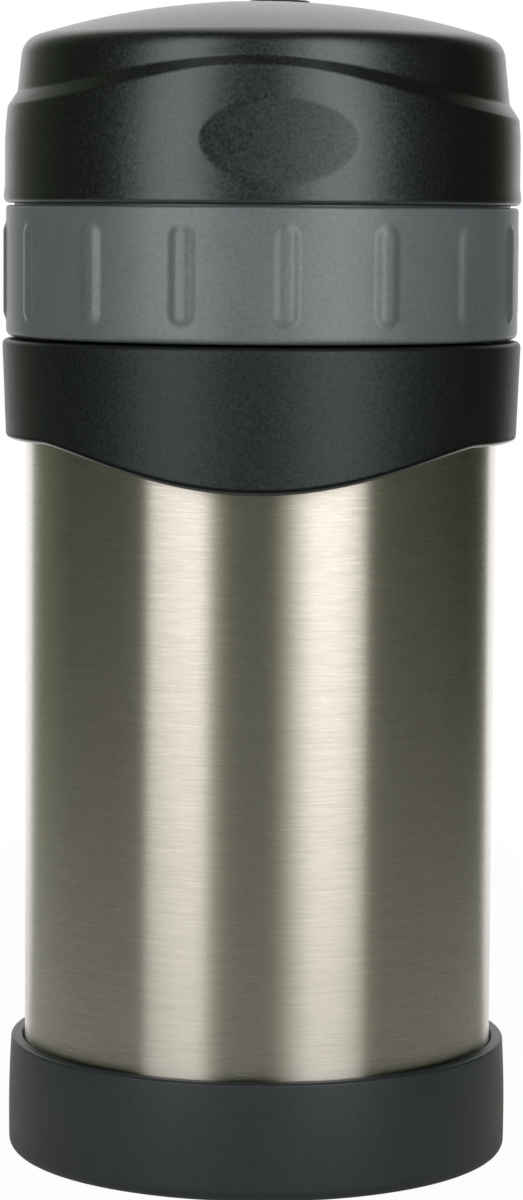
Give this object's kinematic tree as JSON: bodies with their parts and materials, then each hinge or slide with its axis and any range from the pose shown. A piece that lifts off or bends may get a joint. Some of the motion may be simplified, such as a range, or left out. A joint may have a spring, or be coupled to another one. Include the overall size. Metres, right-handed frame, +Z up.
{
  "type": "insulated food jar",
  "caption": "Steel vacuum food jar in a rubber boot, with a screw-in food container, its ribbed grip ring, and a screw-on domed lid with a push-button vent.",
  "frame": {"origin": "centre of the foot, on the surface that the jar stands on", "axes": "+Z up along the jar's axis, -Y towards the side with the finger dimple (the pictured front), +X to the right of that view"},
  "size_m": [0.096, 0.096, 0.214],
  "materials": {
    "brushed_steel_body": "brushed round the body, satin",
    "inner_steel": "bright drawn steel",
    "boot_rubber": "matte charcoal",
    "black_plastic": "fine matte grain",
    "grey_plastic": "satin",
    "dark_plastic": "satin",
    "cup_plastic": "smooth, slightly milky",
    "silicone": "soft matte",
    "foam": "closed-cell foam",
    "copper_foil": "bright foil",
    "spring_steel": "bright wire",
    "getter_pill": "sintered, dark"
  },
  "bodies": {
    "flask": {"outer_shell": "brushed_steel_body", "inner_liner": "inner_steel", "bottom_plate": "inner_steel", "reflective_foil": "copper_foil", "getter": "getter_pill", "vacuum_plug": "inner_steel", "seal_cap": "inner_steel", "base_boot": "boot_rubber", "collar": "black_plastic", "collar_gasket": "silicone"},
    "container_seal": {"container_gasket": "silicone"},
    "container": {"food_cup": "cup_plastic", "grip_ring": "grey_plastic"},
    "lid_seal": {"lid_gasket": "silicone"},
    "lid": {"lid_shell": "black_plastic", "lid_liner": "dark_plastic", "lid_foam": "foam", "vent_spring": "spring_steel", "spring_washer": "spring_steel"},
    "vent": {"vent_button": "black_plastic", "vent_stem": "spring_steel", "vent_valve": "silicone", "valve_clip": "spring_steel"}
  },
  "joints": [
    {"name": "container_lift", "type": "slide", "parent": "flask", "child": "container_seal", "axis": [0, 0, 1], "range_m": [0, 0.015]},
    {"name": "container_turn", "type": "hinge", "parent": "container_seal", "child": "container", "pos_m": [0, 0, 0.15], "axis": [0, 0, 1], "range_deg": [0, 450]},
    {"name": "lid_lift", "type": "slide", "parent": "container", "child": "lid_seal", "axis": [0, 0, 1], "range_m": [0, 0.018]},
    {"name": "lid_turn", "type": "hinge", "parent": "lid_seal", "child": "lid", "pos_m": [0, 0, 0.18], "axis": [0, 0, 1], "range_deg": [0, 540]},
    {"name": "vent_press", "type": "slide", "parent": "lid", "child": "vent", "axis": [0, 0, -1], "range_m": [0, 0.0016], "stiffness_N_per_m": 600, "springref_m": -0.003, "deforming": ["vent_spring"]}
  ],
  "couplings": [
    {"joint": "container_lift", "follows": "container_turn", "m_per_rad": 0.0019099},
    {"joint": "lid_lift", "follows": "lid_turn", "m_per_rad": 0.0019099}
  ]
}
